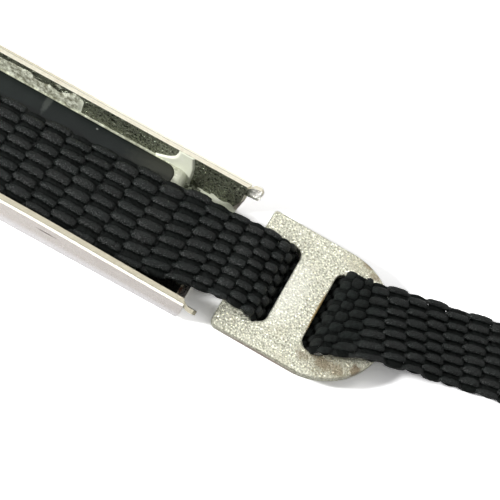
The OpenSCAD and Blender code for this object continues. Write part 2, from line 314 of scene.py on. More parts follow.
def apply_modifiers(piece):
    """Makes the piece's modifiers part of its mesh."""
    made = bpy.data.meshes.new_from_object(piece.evaluated_get(bpy.context.evaluated_depsgraph_get()))
    piece.modifiers.clear()
    piece.data = made


def mixed(tree, share, first, second):
    """Colour between two colours, each a socket or a plain colour, by a share that is a socket."""
    node = tree.nodes.new("ShaderNodeMix")
    node.data_type = "RGBA"
    for value, socket in ((share, node.inputs["Factor"]), (first, node.inputs[6]), (second, node.inputs[7])):
        feed(tree, value, socket)
    return node.outputs[2]


def stretched(tree, value, low, high, top=1.0):
    """The value's range from low to high, stretched to 0 to top."""
    node = tree.nodes.new("ShaderNodeMapRange")
    for key, plain in (("Value", value), ("From Min", low), ("From Max", high), ("To Max", top)):
        feed(tree, plain, node.inputs[key])
    return node.outputs[0]


def new_group(name, takes, gives):
    """A shader node group with named inputs and outputs, its input and output nodes, and Object
    coordinates."""
    group = bpy.data.node_groups.new(name, "ShaderNodeTree")
    for way, sockets in (("INPUT", takes), ("OUTPUT", gives)):
        for socket, kind in sockets.items():
            group.interface.new_socket(name=socket, in_out=way, socket_type="NodeSocket" + kind)
    enter, leave = group.nodes.new("NodeGroupInput"), group.nodes.new("NodeGroupOutput")
    return group, enter, leave, group.nodes.new("ShaderNodeTexCoord").outputs["Object"]


def noise(tree, place, per_metre, detail, roughness=0.6):
    """Noise of so many cells a metre at a place, from 0 to 1."""
    node = tree.nodes.new("ShaderNodeTexNoise")
    for key, value in (("Vector", place), ("Scale", per_metre), ("Detail", detail), ("Roughness", roughness)):
        feed(tree, value, node.inputs[key])
    return node.outputs["Fac"]


def bumped(tree, height, strength, distance):
    """Normal of a surface raised by a height that is a socket, over a distance in metres."""
    bump = tree.nodes.new("ShaderNodeBump")
    for key, value in (("Strength", strength), ("Distance", distance), ("Height", height)):
        feed(tree, value, bump.inputs[key])
    return bump.outputs[0]


def metal_grain():
    """Shared effect: fine plating grain over slow blotches, as a colour, a roughness and a bumped normal."""
    group, enter, leave, place = new_group(
        "metal_grain",
        {"Light": "Color", "Dark": "Color", "Blotch": "Color", "Grain per metre": "Float",
         "Grain contrast": "Float", "Blotch share": "Float", "Roughness": "Float", "Relief": "Float"},
        {"Color": "Color", "Roughness": "Float", "Normal": "Vector"})
    takes = enter.outputs
    grain = stretched(group, noise(group, place, takes["Grain per metre"], 3.0, 0.7), 0.36, 0.64)
    share = maths(group, "MULTIPLY", grain, takes["Grain contrast"])
    speckled = mixed(group, share, takes["Light"], takes["Dark"])
    patches = stretched(group, noise(group, place, 330.0, 3.0), 0.52, 0.7)
    share = maths(group, "MULTIPLY", patches, takes["Blotch share"])
    feed(group, mixed(group, share, speckled, takes["Blotch"]), leave.inputs["Color"])
    feed(group, maths(group, "MULTIPLY_ADD", grain, 0.22, takes["Roughness"]), leave.inputs["Roughness"])
    feed(group, bumped(group, grain, takes["Relief"], 0.00004), leave.inputs["Normal"])
    return group


def stain():
    """Shared effect: a mask that is 1 inside an oval blot with a ragged edge and 0 outside it."""
    group, enter, leave, place = new_group(
        "stain", {"Place": "Vector", "Half size": "Vector", "Ragged": "Float"}, {"Mask": "Float"})
    away, share = group.nodes.new("ShaderNodeVectorMath"), group.nodes.new("ShaderNodeVectorMath")
    away.operation, share.operation = "SUBTRACT", "DIVIDE"
    feed(group, place, away.inputs[0])
    feed(group, enter.outputs["Place"], away.inputs[1])
    feed(group, away.outputs[0], share.inputs[0])
    feed(group, enter.outputs["Half size"], share.inputs[1])
    reach = group.nodes.new("ShaderNodeVectorMath")
    reach.operation = "LENGTH"
    feed(group, share.outputs[0], reach.inputs[0])
    uneven = maths(group, "SUBTRACT", noise(group, place, 2200.0, 4.0, 0.65), 0.5)
    edge = maths(group, "MULTIPLY_ADD", uneven, enter.outputs["Ragged"], reach.outputs["Value"])
    inside = maths(group, "SUBTRACT", 1.0, edge)
    feed(group, stretched(group, inside, 0.0, 0.45), leave.inputs["Mask"])
    return group


METAL_GRAIN, STAIN = metal_grain(), stain()


def use_group(tree, group, values):
    """Outputs of a shared effect placed in a material with its own values."""
    node = tree.nodes.new("ShaderNodeGroup")
    node.node_tree = group
    for key, value in values.items():
        feed(tree, value, node.inputs[key])
    return node.outputs


def blot(tree, place, half, ragged):
    """Mask of one blot, from its place and half size in millimetres and how ragged its edge is."""
    values = {"Place": [v * MM for v in place], "Half size": [v * MM for v in half], "Ragged": ragged}
    return use_group(tree, STAIN, values)["Mask"]


def stained(tree, colour, stains):
    """The colour with oval blots laid over it; each is its place, half size, colour, strength and
    raggedness."""
    for place, half, tint, strength, ragged in stains:
        colour = mixed(tree, maths(tree, "MULTIPLY", blot(tree, place, half, ragged), strength), colour, tint)
    return colour


def surfaced(tree, output, values):
    """Puts a Principled shader with the given inputs on a material's output."""
    surface = tree.nodes.new("ShaderNodeBsdfPrincipled")
    for key, value in values.items():
        feed(tree, value, surface.inputs[key])
    feed(tree, surface.outputs[0], output.inputs["Surface"])


def plated(name, light, dark, blotch, grain, contrast, blotch_share, roughness, relief, stains=()):
    """A nickel finish: metal all over, with the shared grain for its colour, roughness and relief."""
    material, tree, output = new_material(name)
    effect = use_group(tree, METAL_GRAIN, {
        "Light": light, "Dark": dark, "Blotch": blotch, "Grain per metre": grain, "Grain contrast": contrast,
        "Blotch share": blotch_share, "Roughness": roughness, "Relief": relief})
    surfaced(tree, output, {"Metallic": 1.0, "Base Color": stained(tree, effect["Color"], stains),
                            "Roughness": effect["Roughness"], "Normal": effect["Normal"]})
    return material


DULL_RIM = ((-4.0, 8.6, BAR_H), (16.0, 1.0, 1.0), (0.58, 0.54, 0.4), 0.7, 0.5)
OUTER_NICK = ((13.2, -8.4, 4.15), (1.5, 0.6, 0.16), (0.1, 0.06, 0.045), 1.0, 0.5)
FOOT_SHEEN = ((4.0, -8.0, 0.3), (90.0, 3.0, 2.6), (1.0, 0.98, 0.99), 0.9, 0.1)
x_lines = np.linspace(BAR_LOW[0], BAR_HIGH[0], 61)
u_lines = section_lines()
X, U = np.meshgrid(x_lines, u_lines, indexing="ij")
X = cut_back(X, U, COVER_SETBACK)
points, faces, sides = shell(on_sheet(X, U, 0), on_sheet(X, U, COVER_T),
                             np.ones((len(x_lines) - 1, len(u_lines) - 1), bool))
cover = add_mesh("cover_sheet", points, faces)
cover.data.materials.append(plated(
    "bright_nickel", light=(0.8, 0.75, 0.71), dark=(0.68, 0.63, 0.58), blotch=(0.62, 0.55, 0.5), grain=5000.0,
    contrast=0.3, blotch_share=0.3, roughness=0.22, relief=0.15, stains=[OUTER_NICK, FOOT_SHEEN]))
cover.data.materials.append(plated(
    "bright_cut_edge", light=(0.92, 0.9, 0.78), dark=(0.82, 0.77, 0.64), blotch=(0.7, 0.62, 0.48),
    grain=3000.0, contrast=0.3, blotch_share=0.15, roughness=0.3, relief=0.25, stains=[DULL_RIM]))
paint_cut_edges(cover, sides)
face_outwards(cover)
pin_bore(cover)
round_edges(cover, 0.07)
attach(cover, "channel_bar")
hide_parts("outer_cover")

# ---------------------------------------------------------------- channel bar: inner tray
# Stiffer sheet folded to fit the cover, dull and grainy inside. Its floor stops short of the open end with
# slanted corners, where the raw cut has rusted, and a narrow ear runs on from each wall.
EAR_L, EAR_H, EAR_DROP, EAR_ROUND = 1.6, 1.2, 0.3, 0.35
EAR_LEAN, EAR_FOOT_Z = 0.45, BAR_H - 1.5
FLOOR_SETBACK, CUT_SLANT = 1.2, 0.3
ear_top, ear_foot = RIM_U - EAR_DROP, RIM_U - EAR_DROP - EAR_H
u_lines = section_lines(np.linspace(ear_foot, ear_top, 5))
ear_share = np.linspace(0, 1, 5)[1:]
x_lines = np.concatenate([np.linspace(BAR_LOW[0], BAR_HIGH[0], 61), BAR_HIGH[0] + EAR_L * ear_share])
at_end = len(x_lines) - len(ear_share)
X, U = np.meshgrid(x_lines, u_lines, indexing="ij")
X[:at_end] = cut_back(X[:at_end], U[:at_end], FLOOR_SETBACK)
from_middle = np.abs(np.abs(u_lines) - (ear_top + ear_foot) / 2) / (EAR_H / 2)
X[-1] -= EAR_ROUND * np.clip(from_middle, 0, 1) ** 4
cell_u = np.abs((u_lines[:-1] + u_lines[1:]) / 2)
keep = np.ones((len(x_lines) - 1, len(u_lines) - 1), bool)
keep[at_end - 1:] = (cell_u > ear_foot) & (cell_u < ear_top)
slanted = X - CUT_SLANT * np.clip(X - X[at_end - 1] + 1, 0, 1) * (np.arange(len(x_lines)) < at_end)[:, None]
points, faces, sides = shell(on_sheet(X, U, COVER_T + NEST_GAP), on_sheet(slanted, U, FLOOR_Z), keep)
on_ear = smooth(BAR_HIGH[0], BAR_HIGH[0] + 0.5, points[:, 0])
points[:, 1] += on_ear * np.sign(points[:, 1]) * EAR_LEAN * (points[:, 2] - EAR_FOOT_Z)
tray = add_mesh("tray_sheet", points, faces)


def recolour(material, share, colour):
    """Mixes a colour into what feeds the material's base colour, by a share that is a socket."""
    tree = material.node_tree
    base = next(n for n in tree.nodes if n.type == "BSDF_PRINCIPLED").inputs["Base Color"]
    feed(tree, mixed(tree, share, base.links[0].from_socket, colour), base)


def rusty_edge(name, rust_top, rust_x):
    """Raw cut sheet: pale nickel on the rims, rusted brown on the edges that lie low at the open end."""
    material = plated(name, light=(0.8, 0.77, 0.64), dark=(0.66, 0.61, 0.48), blotch=(0.5, 0.4, 0.28),
                      grain=3000.0, contrast=0.5, blotch_share=0.25, roughness=0.32, relief=0.4,
                      stains=[((4.0, -8.3, BAR_H), (60.0, 1.5, 1.2), (0.41, 0.38, 0.29), 0.9, 0.3)])
    tree = material.node_tree
    place = tree.nodes.new("ShaderNodeTexCoord").outputs["Object"]
    apart = tree.nodes.new("ShaderNodeSeparateXYZ")
    feed(tree, place, apart.inputs[0])
    low = stretched(tree, maths(tree, "SUBTRACT", rust_top * MM, apart.outputs["Z"]), 0.0, 0.4 * MM)
    at_end = stretched(tree, maths(tree, "SUBTRACT", apart.outputs["X"], rust_x * MM), 0.0, 0.3 * MM)
    patchy = stretched(tree, noise(tree, place, 1300.0, 3.0), 0.35, 0.6)
    share = maths(tree, "MULTIPLY", maths(tree, "MULTIPLY", low, at_end), patchy)
    recolour(material, share, (0.16, 0.07, 0.045))
    return material


# Painted highlight: the end of each ear is painted near white where it catches the light.
TRAY_PAINTED_LIGHT_AND_SHADE = [((BAR_HIGH[0] + 1.1, y, 4.6), (1.5, 1.0, 1.6), (1.0, 0.97, 0.9), 1.0, 0.2) for y in (8.5, -8.5)]
# Painted shade: a near-black blot on the floor by the near wall towards the open end, under the strap's edge,
# where its shade and dark reflection fall.
TRAY_PAINTED_LIGHT_AND_SHADE.append(((26.0, -6.0, 1.0), (6.5, 3.0, 2.6), (0.012, 0.012, 0.01), 1.0, 0.2))
tray.data.materials.append(plated(
    "tray_nickel", light=(0.45, 0.48, 0.37), dark=(0.03, 0.035, 0.02), blotch=(0.2, 0.2, 0.14),
    grain=2900.0, contrast=1.0, blotch_share=0.45, roughness=0.14, relief=2.0, stains=TRAY_PAINTED_LIGHT_AND_SHADE))
tray.data.materials.append(rusty_edge("tray_cut_edge", FLOOR_Z + CORNER_RISE + 0.2, BAR_HIGH[0] - 3))
paint_cut_edges(tray, sides)
face_outwards(tray)
pin_bore(tray)
round_edges(tray, 0.1)
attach(tray, "channel_bar")
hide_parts("inner_tray")

# ---------------------------------------------------------------- pad
# Slate-coloured strip of smooth, slightly satiny rubber, cut with rounded corners and softly rounded edges.
# It is set in adhesive on the tray's floor and pressed over towards the far wall.
PAD_LOW, PAD_HIGH = in_mm(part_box("pad"))
PAD_CORNER_R, PAD_EDGE_R = 1.3, 0.22
PAD_PUSH, PAD_PUSH_MORE = 0.17, 0.1


def rounded_outline(low, high, radius, inset=0.0, arc_steps=10):
    """Corner arcs of a rounded rectangle, inset by a distance, anticlockwise from its lower right corner."""
    right, left = high[0] - radius, low[0] + radius
    top, bottom = high[1] - radius, low[1] + radius
    corners = []
    for quarter, middle in enumerate(([right, bottom], [right, top], [left, top], [left, bottom])):
        a = np.linspace(0, math.pi / 2, arc_steps) + (quarter - 1) * math.pi / 2
        corners.append(np.stack([np.cos(a), np.sin(a)], axis=-1) * (radius - inset) + middle)
    return np.concatenate(corners)


def to_far_wall(outline):
    """The outline with its far side pressed out towards the wall, most at the closed end."""
    push = PAD_PUSH + PAD_PUSH_MORE * smooth(20, 4, outline[:, 0])
    push = push * smooth(0, PAD_HIGH[1] - 0.6, outline[:, 1])
    return outline + np.stack([0 * push, push], axis=-1)


def at_height(outline, z):
    """The outline's points at height z, one height or one for each."""
    return np.column_stack([outline, np.broadcast_to(z, len(outline))])


a = np.linspace(0, math.pi / 2, 6)
insets = np.concatenate([[0], PAD_EDGE_R * (1 - np.cos(a)), [2 * PAD_EDGE_R]])
heights = np.concatenate([[PAD_LOW[2]], PAD_HIGH[2] - PAD_EDGE_R * (1 - np.sin(a)), [PAD_HIGH[2]]])
pad_rings = [at_height(to_far_wall(rounded_outline(PAD_LOW, PAD_HIGH, PAD_CORNER_R, inset)), z)
             for inset, z in zip(insets, heights)]
pad = add_mesh("slate_pad", np.concatenate(pad_rings), stacked_rings(pad_rings))


def dusting():
    """Shared effect: paler smears laid over a base colour where a noise is high, and a faint unevenness with
    them, as a colour and a bumped normal."""
    group, enter, leave, place = new_group(
        "dusting",
        {"Base": "Color", "Dust": "Color", "Dust share": "Float", "Smears per metre": "Float",
         "Relief": "Float"},
        {"Color": "Color", "Normal": "Vector"})
    takes = enter.outputs
    smear = noise(group, place, takes["Smears per metre"], 5.0)
    share = stretched(group, smear, 0.45, 0.75, takes["Dust share"])
    feed(group, mixed(group, share, takes["Base"], takes["Dust"]), leave.inputs["Color"])
    feed(group, bumped(group, smear, takes["Relief"], 0.0002), leave.inputs["Normal"])
    return group


DUSTING = dusting()


def dusty(name, base, dust, dust_share, roughness, per_metre, relief, stains=(), gloss=0.5):
    """A dull solid colour with the shared dusting and any stains."""
    material, tree, output = new_material(name)
    effect = use_group(tree, DUSTING, {"Base": base, "Dust": dust, "Dust share": dust_share,
                                       "Smears per metre": per_metre, "Relief": relief})
    surfaced(tree, output, {"Base Color": stained(tree, effect["Color"], stains), "Roughness": roughness,
                            "Specular IOR Level": gloss, "Normal": effect["Normal"]})
    return material


PAD_MARKS = [((24.0, 5.0, PAD_HIGH[2]), (9.0, 9.0, 0.8), (0.034, 0.036, 0.026), 0.8, 0.4),
             ((5.15, 7.3, PAD_HIGH[2]), (0.5, 2.8, 0.5), (0.055, 0.062, 0.055), 0.75, 0.9),
             ((11.5, 6.6, PAD_HIGH[2]), (0.16, 0.14, 0.5), (0.2, 0.21, 0.19), 0.9, 0.4)]
pad.data.materials.append(dusty(
    "slate_pad", base=(0.0035, 0.0062, 0.0055), dust=(0.011, 0.0155, 0.014), dust_share=0.6,
    roughness=0.45, per_metre=260.0, relief=0.1, stains=PAD_MARKS, gloss=0.2))
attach(pad, "channel_bar")
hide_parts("pad")

# ---------------------------------------------------------------- adhesive
# Pale cured adhesive that the pad is set in: a bead squeezed out all round it that fills the tray's width, a
# wide band across its end, and thin coats that ran up the tray's walls.
BEAD_LOW, BEAD_HIGH = in_mm(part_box("adhesive"))
BAND_W = BEAD_HIGH[0] - PAD_HIGH[0]
BEAD_REACH, BEAD_SUNK, BEAD_DIP, END_ROUND = 3.0, 0.1, 0.22, 3.2
RIPPLE_WAVES, BED_LIFT, WALL_CLEAR = 7, 0.01, 0.005
FILM_SHARE, FILM_END_X = 0.75, (22.8, 21.5)


def inside_half(z):
    """Half of the width inside the tray's walls at height z."""
    return FLOOR_HALF_W + (BEND_R - FLOOR_Z) / math.cos(LEAN) + (z - BEND_R) * math.tan(LEAN)


def ripple(a, b, seed, low=0.5, high=3.0):
    """A smooth uneven field between about -1 and 1: a sum of sine waves in random directions."""
    rng = np.random.default_rng(seed)
    total = np.zeros(np.broadcast(a, b).shape)
    for _ in range(RIPPLE_WAVES):
        turn, size, start = rng.uniform(0, 2 * math.pi), rng.uniform(low, high), rng.uniform(0, 2 * math.pi)
        total += np.sin((a * math.cos(turn) + b * math.sin(turn)) * size + start)
    return total / math.sqrt(RIPPLE_WAVES * 2)


def with_film(piece, thin):
    """Gives the piece the attribute film: 1 where the adhesive is so thin that the metal shows through."""
    film = piece.data.attributes.new("film", "FLOAT", "POINT")
    film.data.foreach_set("value", np.asarray(thin, np.float32))


def with_long_sides_split(outline, longest=3.0, splits=59):
    """The outline with every side over the longest length split evenly."""
    along = np.roll(outline, -1, axis=0) - outline
    parts = np.where(np.linalg.norm(along, axis=1) > longest, splits, 1)
    side = np.repeat(np.arange(len(outline)), parts)
    step = np.arange(len(side)) - np.repeat(np.cumsum(parts) - parts, parts)
    return outline[side] + along[side] * (step / parts[side])[:, None]


outline = to_far_wall(with_long_sides_split(rounded_outline(PAD_LOW, PAD_HIGH, PAD_CORNER_R, 0.03, 16)))
ahead = np.roll(outline, -1, axis=0) - np.roll(outline, 1, axis=0)
outward = np.stack([ahead[:, 1], -ahead[:, 0]], axis=-1)
outward /= np.linalg.norm(outward, axis=1)[:, None]
reach = outline + outward * BEAD_REACH
band_edge = PAD_HIGH[0] + BAND_W + 0.15 + 0.12 * ripple(outline[:, 1], 0, 3)
reach[:, 0] = np.clip(reach[:, 0], BEAD_LOW[0] + 0.3 * ripple(outline[:, 1], 5.0, 4), band_edge)
bead_rings = []
for share in np.linspace(0, 1, 11):
    spread = outline + (reach - outline) * share
    over_end = (smooth(PAD_HIGH[0] - 0.4, PAD_HIGH[0] + 0.2, spread[:, 0])
                + smooth(PAD_LOW[0] + 0.4, PAD_LOW[0] - 0.2, spread[:, 0]))
    top = PAD_HIGH[2] - BEAD_SUNK - BEAD_DIP * np.sin(share * math.pi) * (1 - over_end)
    rounded_off = over_end * (1 - math.sqrt(1 - share ** END_ROUND))
    top = top - (top - FLOOR_Z - 0.04) * rounded_off
    wall_y = inside_half(top) - WALL_CLEAR
    spread[:, 1] = np.clip(spread[:, 1], -wall_y + pressed(spread[:, 0], top), wall_y)
    bead_rings.append(at_height(spread, top))
for r in (bead_rings[-1], bead_rings[0]):
    inside = np.clip(r[:, 1], -FLOOR_HALF_W, FLOOR_HALF_W)
    bead_rings.append(at_height(np.stack([r[:, 0], inside], axis=-1), FLOOR_Z + BED_LIFT))
bead = add_mesh("adhesive_bead", np.concatenate(bead_rings), stacked_rings(bead_rings, "joined"), 60.0)
face_outwards(bead)
with_film(bead, FILM_SHARE * smooth(*FILM_END_X, np.concatenate(bead_rings)[:, 0]))

x_lines = np.linspace(-14.0, BAR_HIGH[0], 441)
wall_foot = FLOOR_HALF_W + BEND_R * BEND_TURN * 0.6
u_wall = np.linspace(wall_foot, RIM_U - 0.04, 56)
u_floor = np.linspace(FLOOR_HALF_W - 1.3, wall_foot + 0.15, 30)
PAD_LINE = 0.5
BAND_T, BLOB_T, RESIDUE_T, SMEAR_T = 0.2, 0.14, 0.07, 0.06
BAND_BEFORE, BAND_PAST, BAND_SLANT = 0.65, 1.75, 0.45
BLOB_X, BLOB_UP, BLOB_HALF_L, BLOB_HALF_UP = 7.6, 0.66, 1.25, 0.26
COAT_LEAST, COAT_FROM = 0.002, 0.004


def up_wall(U):
    """Share of the way up the wall, 0 at its foot and 1 at the rim."""
    return np.clip((U - wall_foot) / (RIM_U - wall_foot), 0, 1)


def coat(name, side, u_lines, thickness, thin):
    """Closed coat on the far side (1) or the near side (-1) of the sheet, over the cells where its thickness
    field is above nothing; thin says where along the bar it is only a film."""
    X, U = np.meshgrid(x_lines, u_lines, indexing="ij")
    deep = thickness(X, U)
    cells = (deep[:-1, :-1] + deep[1:, :-1] + deep[1:, 1:] + deep[:-1, 1:]) / 4 > COAT_FROM
    low = on_sheet(X, side * U, FLOOR_Z - BED_LIFT)
    high = on_sheet(X, side * U, FLOOR_Z + np.clip(deep, COAT_LEAST, None))
    points, faces, _ = shell(low, high, cells)
    piece = add_mesh(name, points, faces, 70.0)
    face_outwards(piece)
    with_film(piece, thin(points[:, 0]))
    return piece


def band_field(X, U, flare):
    """Thickness of the band up the wall past the pad's end, with a fillet where it leaves the pad."""
    up = up_wall(U)
    fillet = flare * np.exp(-(np.clip(up - PAD_LINE, 0, 1) / 0.13) ** 1.2)
    left = PAD_HIGH[0] - BAND_BEFORE - fillet + 0.06 * ripple(U, X, 11)
    right = PAD_HIGH[0] + BAND_PAST - BAND_SLANT * smooth(0.6, 1.0, up) + 0.06 * ripple(U, X, 12)
    edge = smooth(0, 0.3, X - left) * smooth(0, 0.2, right - X)
    return BAND_T * np.sqrt(edge)


def far_coat(X, U):
    """Band, smears and a round-ended blob further back on the far wall, and a residue along its foot."""
    up = up_wall(U)
    ragged = up + 0.12 * ripple(X * 1.3, U * 2.4, 21, high=4.0)
    smear = smooth(0.86, 0.76, ragged) * smooth(8.9, 8.5, X)
    smear *= smooth(-3.0, -1.5, X + 1.2 * ripple(U * 3, X, 22))
    from_blob = np.hypot((X - BLOB_X) / BLOB_HALF_L, (up - BLOB_UP) / BLOB_HALF_UP)
    blob = np.sqrt(smooth(1.0, 0.7, from_blob))
    foot = smooth(0.16, 0.06, up + 0.05 * ripple(X, U, 23, high=6.0))
    residue = foot * smooth(24.4, 25.0, X) * smooth(29.4, 28.8, X)
    return np.maximum.reduce([band_field(X, U, 2.5), SMEAR_T * smear, BLOB_T * blob, RESIDUE_T * residue])


def near_coat(X, U):
    """Band on the near wall."""
    return band_field(X, U, 0.4) * smooth(0.7, 0.6, up_wall(U))


def far_film(x):
    """The smears and the blob are a film; the blob's outermost edge and the band are not."""
    return smooth(8.8, 8.3, x) + 0.15 * smooth(25.0, 25.6, x)


def no_film(x):
    """Thick all over."""
    return 0 * x


def floor_coat(X, U):
    """Torn skin left on the floor by the far wall, past the band."""
    ragged = U + 0.22 * ripple(X * 1.3, U * 2, 24, high=5.0)
    ends = smooth(24.9, 25.4, X) * smooth(29.6, 29.2, X)
    return RESIDUE_T * smooth(FLOOR_HALF_W - 0.55, FLOOR_HALF_W - 0.35, ragged) * ends


coats = [coat("adhesive_on_far_wall", 1, u_wall, far_coat, far_film),
         coat("adhesive_on_near_wall", -1, u_wall, near_coat, no_film),
         coat("adhesive_on_floor", 1, u_floor, floor_coat, no_film)]
cured = dusty("cured_adhesive", base=(0.87, 0.9, 0.73), dust=(0.94, 0.95, 0.84), dust_share=0.8,
              roughness=0.35, per_metre=900.0, relief=0.25)
tree = cured.node_tree
film = tree.nodes.new("ShaderNodeAttribute")
film.attribute_name = "film"
place = tree.nodes.new("ShaderNodeTexCoord").outputs["Object"]
speckle = stretched(tree, noise(tree, place, 1500.0, 5.0, 0.75), 0.36, 0.58)
recolour(cured, maths(tree, "MULTIPLY", film.outputs["Fac"], speckle), (0.21, 0.21, 0.145))
for piece in [bead] + coats:
    piece.data.materials.append(cured)
    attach(piece, "channel_bar")
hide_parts("adhesive")

# ---------------------------------------------------------------- cross pin
# Plain turned steel pin that crosses both walls near the pinned end and holds the strap's loop. Its ends are
# peened over into low domes that keep it in its holes.
PIN_LOW, PIN_HIGH = in_mm(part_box("cross_pin"))
PIN_MIDDLE = (PIN_LOW + PIN_HIGH) / 2
PIN_R, HEAD_T, HEAD_DOME = 0.8, 0.35, 0.2
HEAD_R = (PIN_HIGH[2] - PIN_LOW[2]) / 2
pin_end = PIN_HIGH[1]
dome = np.linspace(0, math.pi / 2, 7)[:-1]
profile = [(pin_end, 0.001)]
profile += [(pin_end - HEAD_DOME * (1 - math.cos(a)), HEAD_R * math.sin(a) * 0.96) for a in dome[1:]]
profile += [(pin_end - HEAD_DOME - 0.02, HEAD_R), (pin_end - HEAD_T, HEAD_R - 0.04)]
profile += [(pin_end - HEAD_T, PIN_R)]
profile += [(-y, r) for y, r in profile[::-1]]
turn = np.linspace(0, 2 * math.pi, 49)[:-1]
around = np.stack([np.cos(turn), 0 * turn, np.sin(turn)], axis=-1)
pin_rings = [around * r + [PIN_MIDDLE[0], y, PIN_MIDDLE[2]] for y, r in profile]
pin = add_mesh("pin", np.concatenate(pin_rings), stacked_rings(pin_rings))
face_outwards(pin)
pin.data.materials.append(plated(
    "pin_steel", light=(0.7, 0.69, 0.65), dark=(0.5, 0.49, 0.45), blotch=(0.42, 0.38, 0.3),
    grain=3000.0, contrast=0.5, blotch_share=0.3, roughness=0.28, relief=0.2))
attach(pin, "channel_bar")
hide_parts("cross_pin")

# ---------------------------------------------------------------- slide plate
# Flat D-shaped plate stamped from thick sheet, with two slots. Its top edges are rolled over by the punch,
# and its nickel has a sandy grain with brown tarnish round the D end.
PLATE_TURN = math.radians(-1.2)
PLATE_L, PLATE_W, PLATE_T = 18.3, 16.3, 1.1
PLATE_PLACE = np.array([BAR_HIGH[0] + 3.4, 0.75])
PLATE_Z = in_mm(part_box("slide_plate"))[0][2]
PLATE_TOP = PLATE_Z + PLATE_T
END_BAR_W, CENTRE_BAR_W, SLOT_W, SLOT_L, SLOT_CORNER_R = 2.2, 4.6, 3.0, 10.5, 1.15
FAR_CORNER_R, NEAR_CORNER_R = 0.5, 0.9
ROLL_R, BURR_R = 0.2, 0.05
SLOT_X = [END_BAR_W, END_BAR_W + SLOT_W + CENTRE_BAR_W]


def plate_outline():
    """Outer edge: the D's half circle, then the two corners of the straight edge, anticlockwise."""
    half_w = PLATE_W / 2
    a = np.linspace(-math.pi / 2, math.pi / 2, 65)
    points = [np.stack([PLATE_L - half_w + half_w * np.cos(a), half_w * np.sin(a)], axis=-1)]
    for radius, cy, start in ((FAR_CORNER_R, half_w - FAR_CORNER_R, math.pi / 2),
                              (NEAR_CORNER_R, NEAR_CORNER_R - half_w, math.pi)):
        a = start + np.linspace(0, math.pi / 2, 9)
        points.append(np.stack([radius + radius * np.cos(a), cy + radius * np.sin(a)], axis=-1))
    return np.concatenate(points)


def inset_loop(loop, distance):
    """The loop moved to its left by a distance, which is into the metal for every loop here."""
    ahead = np.roll(loop, -1, axis=0) - np.roll(loop, 1, axis=0)
    left = np.stack([-ahead[:, 1], ahead[:, 0]], axis=-1)
    return loop + left / np.linalg.norm(left, axis=1)[:, None] * distance


def on_plate(points):
    """The plate's own points turned and moved to where it lies."""
    cos_t, sin_t = math.cos(PLATE_TURN), math.sin(PLATE_TURN)
    x, y, z = points.T
    turned = np.stack([x * cos_t - y * sin_t, x * sin_t + y * cos_t], axis=-1)
    return at_height(turned + PLATE_PLACE, PLATE_Z + z)


def stamped_plate(name, loops):
    """A plate with rolled top edges and small burrs below, from one outer loop and its holes.

    Each loop is carried up as a wall through its insets at the heights of the steps, which follow the burr
    and then the roll's quarter circle, and the flat underside and top are filled in between the walls."""
    roll = np.linspace(0, math.pi / 2, 6)
    inset = np.concatenate([[2 * ROLL_R, BURR_R, 0], ROLL_R * (1 - np.cos(roll)), [2 * ROLL_R]])
    height = np.concatenate([[0, 0, BURR_R], PLATE_T - ROLL_R + ROLL_R * np.sin(roll), [PLATE_T]])
    rings, faces, lowest, highest = [], [], [], []
    for loop in loops:
        start = sum(len(ring) for ring in rings)
        walls = [at_height(inset_loop(loop, i), z) for i, z in zip(inset, height)]
        rings += walls
        faces += (np.array(stacked_rings(walls, "open")) + start).tolist()
        lowest.append(start + np.arange(len(loop)))
        highest.append(lowest[-1] + len(loop) * (len(walls) - 1))
    flat = np.array(tessellate_polygon([at_height(inset_loop(loop, inset[0]), 0).tolist() for loop in loops]))
    faces += np.concatenate(lowest)[flat[:, ::-1]].tolist() + np.concatenate(highest)[flat].tolist()
    plate = add_mesh(name, on_plate(np.concatenate(rings)), faces)
    face_outwards(plate)
    shade(plate.data, 50)
    return plate


slots = [rounded_outline((x, -SLOT_L / 2), (x + SLOT_W, SLOT_L / 2), SLOT_CORNER_R, arc_steps=9)[::-1]
         for x in SLOT_X]
plate = stamped_plate("d_plate", [plate_outline()] + slots)
TARNISH, OLIVE, GREYED = (0.2, 0.13, 0.07), (0.34, 0.31, 0.21), (0.5, 0.47, 0.34)
GOLD, PAINTED_SIDE_SHADE, EDGE_OLIVE, PAINTED_HIGHLIGHT = (0.4, 0.27, 0.1), (0.5, 0.38, 0.33), (0.22, 0.2, 0.13), (1.0, 1.0, 0.9)
TARNISH_SPOTS = [
    (45.0, -4.4, 1.1, 0.8, 0.75), (46.3, -5.3, 1.2, 0.9, 0.75), (47.9, -5.2, 1.3, 0.8, 0.65),
    (49.8, -4.2, 0.8, 0.9, 0.8), (43.9, -5.6, 1.0, 0.6, 0.45), (46.0, 8.1, 0.9, 0.5, 0.8),
    (47.1, 7.3, 0.9, 0.6, 0.65)]
PLATE_STAINS = [((x, y, PLATE_TOP), (half_x, half_y, 0.8), TARNISH, strength, 1.6)
                for x, y, half_x, half_y, strength in TARNISH_SPOTS]
PLATE_STAINS += [
    ((46.8, -4.9, PLATE_TOP), (4.2, 2.6, 0.8), OLIVE, 0.5, 0.8),
    ((45.5, 8.0, PLATE_TOP), (3.2, 1.6, 0.8), GREYED, 0.4, 0.9),
    ((43.1, -0.2, PLATE_TOP), (0.25, 3.4, 0.5), GOLD, 0.9, 0.6),
    # Painted shade: the lower part of the plate's near side face is painted the pinkish grey of the shaded
    # table below it.
    ((39.0, -8.0, PLATE_Z + 0.2), (7.5, 0.9, 0.55), PAINTED_SIDE_SHADE, 0.9, 0.3),
    ((39.5, -7.75, PLATE_TOP), (7.0, 0.3, 0.4), EDGE_OLIVE, 0.7, 0.9),
    # Painted highlight: a near-white pool of light over the first slot and the centre bar.
    ((38.0, 0.5, PLATE_TOP), (4.0, 5.5, 1.0), PAINTED_HIGHLIGHT, 0.45, 1.2)]
